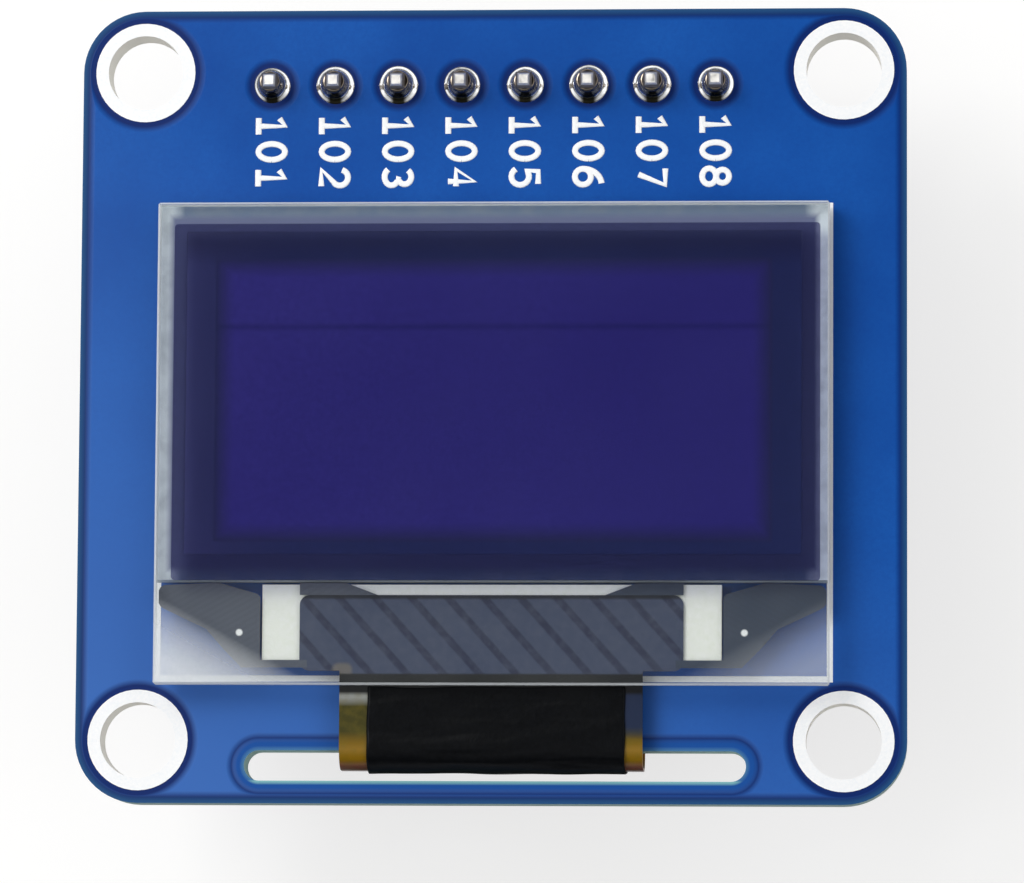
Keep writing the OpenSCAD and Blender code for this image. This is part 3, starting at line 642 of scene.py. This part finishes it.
# %% Finish the foam and the drying sheet
def soft_white(name, first, second, scale, depth):
    material, tree, surface = finish(name, Roughness=0.85)
    where, (x, y, z), facing = place(tree)
    pores = grain(tree, where, scale, 4, 0.65)
    put(tree, surface.inputs["Base Color"], blend(tree, ramp(tree, pores, 0.3, 0.7), first, second))
    relief(tree, surface, pores, depth)
    return material


wear("ledge_pad", soft_white("cream_foam", hue(246, 248, 236), hue(255, 255, 250), 5, 0.015))
wear("foam_tape", soft_white("white_foam", hue(214, 214, 208), hue(236, 236, 232), 9, 0.03))
wear("desiccant_sheet", soft_white("drying_paper", hue(200, 198, 186), hue(226, 224, 214), 4, 0.02))
print("foams done")

# %% [markdown]
# ## Flexible circuit
# A thin amber film with copper inside. Under the ledge its bonded end looks slate, with dark diagonal
# bars. The neck is painted darker olive towards the glass and brighter amber at the bend, which is
# painted shade and painted light that shines through the film. Below the glass's edge lies a pale band,
# a painted reflection, and just under that edge the film is painted nearly black as a painted shadow.
# On the back its tracks end in tinned fingers. One finish covers the whole strip, because its parts
# are told apart by where they are.

# %% Finish the flexible circuit
HEAD_FRONT, BAR_PITCH, FINGER_LENGTH = -7.69, 1.44, 1.4
amber, tree, surface = finish("amber_film", Roughness=0.36, Specular_IOR_Level=0.35)
where, (x, y, z), facing = place(tree)
along = calc(tree, "ADD", x, calc(tree, "MULTIPLY", y, 0.9))
bars = beat(tree, calc(tree, "DIVIDE", along, BAR_PITCH))
fuzz = grain(tree, where, 3, 3)
head = blend(tree, ramp(tree, bars, 0.33, 0.4), hue(64, 73, 98), hue(38, 45, 72))
head = blend(tree, ramp(tree, fuzz, 0.4, 0.7, 0, 0.35), head, hue(84, 90, 110))
glue = to_box(tree, x, y, (-5.8, -10.72), (0.42, 0.36), 0.28)
head = blend(tree, ramp(tree, glue, -0.12, 0.04, 0.85, 0), head, hue(112, 106, 100))
head = blend(tree, ramp(tree, y, HEAD_FRONT - 0.2, HEAD_FRONT - 0.1, 0, 0.85), head, hue(14, 18, 26))
# Painted shade and light: darker olive towards the glass, brighter amber at the bend where light shines through
# the film.
neck = blend(tree, ramp(tree, y, -13.8, -13.1), hue(136, 102, 0), hue(58, 54, 0))
# Painted reflection: a pale grey band below the glass's edge.
neck = blend(tree, ramp(tree, y, -12.1, -11.75), neck, hue(142, 144, 140))
neck = blend(tree, ramp(tree, y, -14.5, -14.2, 1, 0), neck, hue(116, 52, 34))
neck = blend(tree, ramp(tree, fuzz, 0.4, 0.7, 0, 0.3), neck, hue(104, 92, 20))
right_side = calc(tree, "MULTIPLY", ramp(tree, x, 4, 5), ramp(tree, y, -13.4, -12.9))
neck = blend(tree, right_side, neck, hue(22, 36, 64))
# Painted shadow: nearly black just under the glass's edge.
shade = ramp(tree, y, glass_low.y - 0.4, glass_low.y - 0.25, 0, 0.97)
neck = blend(tree, shade, neck, hue(4, 5, 8))
front = blend(tree, ramp(tree, y, glass_low.y + 0.42, glass_low.y + 0.5), neck, head)
tracks = beat(tree, calc(tree, "DIVIDE", calc(tree, "SUBTRACT", x, middle), FINGER_PITCH))
on_track = ramp(tree, tracks, 0.16, 0.24, 1, 0)
back = blend(tree, on_track, hue(122, 84, 18), hue(168, 112, 44))
finger_start = flex_high.y - FINGER_LENGTH
exposed = ramp(tree, y, finger_start - 0.05, finger_start + 0.05)
back = blend(tree, exposed, back, hue(196, 190, 176))
side = ramp(tree, z, 0.0, 1.0)
put(tree, surface.inputs["Base Color"], blend(tree, side, back, front))
surface.inputs["Coat Weight"].default_value = 0.05
surface.inputs["Coat Roughness"].default_value = 0.2
ridges = calc(tree, "MULTIPLY", on_track, calc(tree, "SUBTRACT", 1, side))
relief(tree, surface, calc(tree, "ADD", ridges, calc(tree, "MULTIPLY", fuzz, 0.5)), 0.012)
wear("flex_circuit", amber)
print("flexible circuit done, its fingers end at y", round(flex_high.y, 2))

# %% [markdown]
# ## Metals
# Tin on the pins and leads is bright but never a perfect mirror: it is drawn, cut and dipped. Noise
# in the roughness and a little bump break the reflections up. Solder is the same metal, smoother,
# with slow waves. The steep part of a joint and the sides of a pin are painted darker and brownish,
# which is painted shade, and a dark patch on the near side of every joint is a painted reflection of
# the dark on that side.

# %% Finish the metals
def metal(name, first, second, rough, scale, depth):
    material, tree, surface = finish(name, Metallic=1.0)
    where, (x, y, z), facing = place(tree)
    waves = grain(tree, where, scale, 3, 0.55)
    put(tree, surface.inputs["Base Color"], blend(tree, ramp(tree, waves, 0.3, 0.7), first, second))
    put(tree, surface.inputs["Roughness"], ramp(tree, waves, 0.3, 0.7, rough * 0.7, rough * 1.4))
    relief(tree, surface, waves, depth)
    return material


def darken(material, start, end, shade):
    tree = material.node_tree
    where, (x, y, z), facing = place(tree)
    base = tree.nodes["Principled BSDF"].inputs["Base Color"]
    bright = base.links[0].from_socket
    # Painted shade: between two heights the colour is painted darker and brownish.
    share = calc(tree, "MULTIPLY", ramp(tree, z, start, end), ramp(tree, z, 0.6, 1.2))
    put(tree, base, blend(tree, share, bright, shade))


tin = metal("tinned_pin", hue(232, 230, 226), hue(255, 252, 248), 0.45, 3.5, 0.012)
joint_solder = metal("joint_solder", hue(226, 226, 226), hue(250, 250, 250), 0.14, 1.6, 0.02)
darken(tin, 2.92, 2.86, hue(136, 128, 120))
darken(joint_solder, board_top + 0.13, board_top + 0.3, hue(126, 116, 106))
tree = joint_solder.node_tree
where, (x, y, z), facing = place(tree)
# Painted reflection: a dark patch on the near side of every joint.
spot = calc(tree, "ADD", calc(tree, "DIVIDE", calc(tree, "SUBTRACT", x, pin_places[0].x), pin_pitch), 0.5)
beside = calc(tree, "MULTIPLY", beat(tree, spot), pin_pitch)
near_side_painted_shade = calc(tree, "MULTIPLY", ramp(tree, y, row_y - 0.3, row_y - 0.48), ramp(tree, beside, 0.2, 0.34, 1, 0))
base = tree.nodes["Principled BSDF"].inputs["Base Color"]
put(tree, base, blend(tree, near_side_painted_shade, base.links[0].from_socket, hue(58, 56, 44)))
solder = metal("solder", hue(206, 206, 208), hue(240, 240, 240), 0.13, 1.6, 0.03)
dull_tin = metal("tinned_lead", hue(188, 190, 194), hue(214, 216, 218), 0.32, 5, 0.01)
for number in range(1, 9):
    wear(f"header_pin_{number}", tin)
wear("flex_solder", solder)
wear("part_solder", solder)
wear("regulator_leads", dull_tin)
wear("diode_leads", dull_tin)
print("metals done")

# %% [markdown]
# ## Solder joints
# Each pin stands in a cone of solder that wets the round pad and climbs the pin. Solder sets in its
# own way at each pin, so each joint is a spun profile whose points are then moved a little by smooth
# noise. The hollow curve is nearly flat at the foot, which shines, and steep at the pin, which is dark.

# %% Spin the solder joints
joint_shape = (
    (1, 0), (0.985, 0.018), (0.93, 0.036), (0.86, 0.062), (0.79, 0.094), (0.73, 0.135), (0.685, 0.2),
    (0.655, 0.3), (0.635, 0.42), (0.61, 0.6), (0.59, 0.8), (0.57, 0.95), (0.53, 0.985), (0.42, 0.97),
    (0.34, 0.97),
)


def spin_profile(bm, points, centre, steps):
    profile = [bm.verts.new(point) for point in points]
    edges = [bm.edges.new(pair) for pair in zip(profile, profile[1:])]
    bmesh.ops.spin(
        bm, geom=profile + edges, cent=centre, axis=(0, 0, 1), angle=math.tau, steps=steps, use_merge=True
    )


def solder_joint(number):
    low, high = box_mm(f"solder_joint_{number}")
    centre = (low + high) / 2
    foot, top = (high.x - low.x) / 2, high.z
    bm = bmesh.new()
    profile = [(foot * out, 0, board_top + (top - board_top) * up) for out, up in joint_shape]
    spin_profile(bm, profile, (0, 0, 0), 48)
    for v in bm.verts:
        share = (v.co.z - board_top) / (top - board_top)
        swell = noise.noise(Vector((v.co.x * 1.3, v.co.y * 1.3, number * 7.1))) * 0.09
        lean = noise.noise(Vector((number * 3.7, 0.5, 0))) * 0.05 * share
        scale = 1 + swell * (0.3 + 0.7 * math.sin(min(1, share) * math.pi)) - 0.02
        v.co.x = v.co.x * scale + lean
        v.co.y = v.co.y * scale
    bmesh.ops.recalc_face_normals(bm, faces=bm.faces)
    for face in bm.faces:
        face.smooth = True
    bmesh.ops.translate(bm, verts=bm.verts, vec=(centre.x, centre.y, 0))
    bmesh.ops.scale(bm, verts=bm.verts, vec=(MM, MM, MM))
    joint = mesh_piece(f"joint_{number}", bm, joint_solder)
    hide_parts(f"solder_joint_{number}")
    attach(joint, "root")
    return joint


joints = [solder_joint(number) for number in range(1, 9)]
print(len(joints), "joints of", len(joints[0].data.polygons), "faces")

# %% [markdown]
# ## Black tape
# Matt black tape hides the chip and follows the bend. Its cut edges aren't quite straight and its
# face has small creases. A flat grid is made two layers thick by extrude, and both layers are laid
# along the bent path. Smooth noise that is stretched across the tape moves every point in or out.

# %% Lay the tape
black, tree, surface = finish("black_tape", Roughness=0.42, Specular_IOR_Level=0.1)
where, (x, y, z), facing = place(tree)
fibre = grain(tree, where, 5, 4, 0.65)
put(tree, surface.inputs["Base Color"], blend(tree, ramp(tree, fibre, 0.3, 0.75), hue(1, 2, 4), hue(7, 9, 13)))
relief(tree, surface, fibre, 0.012)

low, high = box_mm("black_tape")
bend, SINK, THICK = 1.02, 0.005, 0.03
bend_y, straight, quarter = low.y + bend, high.y - low.y - bend, bend * math.pi / 2
drop, back_run = high.z - low.z - 2 * bend, 1.1


def on_path(s):
    if s < straight:
        return Vector((0, high.y - s, high.z)), Vector((0, 0, 1))
    s -= straight
    if s < quarter:
        out = Vector((0, -math.sin(s / bend), math.cos(s / bend)))
        return Vector((0, bend_y, high.z - bend)) + out * bend, out
    s -= quarter
    if s < drop:
        return Vector((0, low.y, high.z - bend - s)), Vector((0, -1, 0))
    s -= drop
    if s < quarter:
        out = Vector((0, -math.cos(s / bend), -math.sin(s / bend)))
        return Vector((0, bend_y, low.z + bend)) + out * bend, out
    return Vector((0, bend_y + s - quarter, low.z)), Vector((0, 0, -1))


length = straight + 2 * quarter + drop + back_run
bm = bmesh.new()
bmesh.ops.create_grid(bm, x_segments=90, y_segments=96, size=0.5)
double_sheet(bm, (0, 0, 1))
for v in bm.verts:
    across, s, inner = v.co.x, (v.co.y + 0.5) * length, v.co.z
    far = abs(across) * 2
    x_mm = low.x + (across + 0.5) * (high.x - low.x)
    s = s + max(0, 1 - s / 0.6) * 0.1 * noise.noise(Vector((x_mm * 0.5, 3.3, 0)))
    point, out = on_path(max(0, min(length, s)))
    crease = noise.noise(Vector((x_mm * 0.25, s * 2.1, 7.7))) * 0.05
    crease += noise.noise(Vector((x_mm * 0.8, s * 4.5, 1.2))) * 0.02
    in_bend = max(0, 1 - abs(s - straight - quarter * 0.8) / (quarter * 1.1))
    bulge = in_bend * (0.06 + 0.09 * noise.noise(Vector((x_mm * 0.45, 9.1, 0))))
    v.co = point + out * (crease * (1 - 0.4 * far ** 6) + bulge - SINK - THICK * inner)
    v.co.x = x_mm + (0.05 * noise.noise(Vector((s * 0.9, 5.0, across))) if far > 0.97 else 0)
bmesh.ops.recalc_face_normals(bm, faces=bm.faces)
for face in bm.faces:
    face.smooth = True
bmesh.ops.scale(bm, verts=bm.verts, vec=(MM, MM, MM))
tape = mesh_piece("tape_strip", bm, black)
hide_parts("black_tape")
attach(tape, "root")
print("tape has", len(tape.data.polygons), "faces")

# %% [markdown]
# ## Black plastic
# The strip that holds the pins and the bodies of the parts on the back are black plastic. The strip
# is smooth with a fine grain, the bodies are duller.

# %% Finish the plastic, the chip and the ceramic
def plastic(name, first, second, rough, scale, depth):
    material, tree, surface = finish(name)
    where, (x, y, z), facing = place(tree)
    bits = grain(tree, where, scale, 3, 0.6)
    put(tree, surface.inputs["Base Color"], blend(tree, ramp(tree, bits, 0.3, 0.7), first, second))
    put(tree, surface.inputs["Roughness"], ramp(tree, bits, 0.3, 0.7, rough * 0.85, rough * 1.15))
    relief(tree, surface, bits, depth)
    return material


wear("header_body", plastic("black_nylon", hue(14, 14, 16), hue(26, 26, 29), 0.45, 6, 0.008))
moulding = plastic("moulded_body", hue(22, 22, 24), hue(38, 38, 40), 0.6, 12, 0.012)
wear("regulator_body", moulding)
wear("diode_body", moulding)
wear("driver_chip", plastic("silicon", hue(60, 60, 66), hue(80, 80, 88), 0.25, 2, 0.004))
ceramic = plastic("ceramic", hue(150, 118, 84), hue(176, 142, 104), 0.55, 7, 0.01)
glaze = plastic("resistor_glaze", hue(16, 16, 19), hue(34, 34, 38), 0.4, 8, 0.01)
print("plastics done")

# %% [markdown]
# ## Chip parts
# Capacitors and resistors are small blocks with a metal cap at each end. The caps are a little wider
# than the block, and all their edges are round, because they are dipped. Both come from cubes with
# bevelled edges, in one piece with two finishes.

# %% Shape the chip parts
def chip_part(node, body):
    low, high = box_mm(node)
    turned = high.y - low.y > high.x - low.x
    axis, side = (1, 0) if turned else (0, 1)
    cap = 0.2 * (high[axis] - low[axis])
    bm = bmesh.new()
    inner_low, inner_high = low.copy(), high.copy()
    inner_low[axis] += cap * 0.5
    inner_high[axis] -= cap * 0.5
    for i in (side, 2):
        inner_low[i] += 0.035
        inner_high[i] -= 0.035
    round_block(bm, inner_low, inner_high, 0.04, 0)
    for end in (0, 1):
        cap_low_corner, cap_high_corner = low.copy(), high.copy()
        if end:
            cap_low_corner[axis] = high[axis] - cap
        else:
            cap_high_corner[axis] = low[axis] + cap
        round_block(bm, cap_low_corner, cap_high_corner, 0.05, 1)
    bmesh.ops.scale(bm, verts=bm.verts, vec=(MM, MM, MM))
    piece = mesh_piece(node.replace("_", "_part_"), bm, body)
    piece.data.materials.append(dull_tin)
    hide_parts(node)
    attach(piece, "root")


for number in range(1, 8):
    chip_part(f"capacitor_{number}", ceramic)
for number in range(1, 7):
    chip_part(f"resistor_{number}", glaze)
print("13 chip parts shaped")

# %% [markdown]
# ## Back of the board
# The back has what such a board needs: an outline in white ink round each part, and small plated
# holes, called vias, that lead from one face to the other. An outline is one face whose rim is kept by
# inset, then made thick by extrude. A via is a low ring, spun from a short profile and covered by the
# lacquer.

# %% Print the outlines and set the vias
PRINT_LINE, PRINT_GAP, PRINT_THICK = 0.13, 0.002, 0.018


def outline(bm, low, high, room):
    left, right, near, far = low.x - room, high.x + room, low.y - room, high.y + room
    corners = ((left, near), (right, near), (right, far), (left, far))
    face = bm.faces.new([bm.verts.new((cx, cy, -PRINT_GAP)) for cx, cy in corners])
    bmesh.ops.inset_individual(bm, faces=[face], thickness=PRINT_LINE)
    bmesh.ops.delete(bm, geom=[face], context="FACES")


bm = bmesh.new()
part_names = [f"capacitor_{n}" for n in range(1, 8)] + [f"resistor_{n}" for n in range(1, 7)]
part_names += ["regulator_leads", "diode_leads"]
for name in part_names:
    low, high = box_mm(name)
    outline(bm, low, high, room=0.3 if "leads" in name else 0.2)
double_sheet(bm, (0, 0, -PRINT_THICK))
bmesh.ops.recalc_face_normals(bm, faces=bm.faces)
bmesh.ops.scale(bm, verts=bm.verts, vec=(MM, MM, MM))
outlines = mesh_piece("part_outlines", bm, ink)
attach(outlines, "root")

bm = bmesh.new()
via_shape = ((0.36, 0), (0.33, -0.03), (0.24, -0.045), (0.17, -0.03), (0.13, 0))
via_places = (
    (-7.2, 0.6), (-10.6, 1.2), (-5.9, 0.4), (-3.6, 1.4), (0.9, 1.9), (2.6, 6.2), (-12.9, -4.2), (11.9, -4.6),
    (10.6, 0.9), (3.2, -1.6), (-1.4, -2.2), (-8.3, -3.1), (7.6, -2.4), (12.3, 7.6), (-13.1, 8.1),
)
for vx, vy in via_places:
    spin_profile(bm, [(vx + out, vy, down) for out, down in via_shape], (vx, vy, 0), 24)
bmesh.ops.recalc_face_normals(bm, faces=bm.faces)
bmesh.ops.scale(bm, verts=bm.verts, vec=(MM, MM, MM))
via_coat, tree, surface = finish("via_lacquer", Roughness=0.2)
where, (x, y, z), facing = place(tree)
coat = blend(tree, grain(tree, where, 6, 3), hue(30, 84, 160), hue(74, 124, 190))
put(tree, surface.inputs["Base Color"], coat)
vias = mesh_piece("vias", bm, via_coat)
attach(vias, "root")
print("outlines of", len(part_names), "parts; vias have", len(vias.data.polygons), "faces")

# %% [markdown]
# ## Last steps
# Each piece that this lesson made rides on the module's root, and the box of all shown pieces is printed.

# %% Print the size of the dressed module
low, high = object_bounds()
print("dressed box", [round(v * 1000, 2) for v in (*low, *high)])
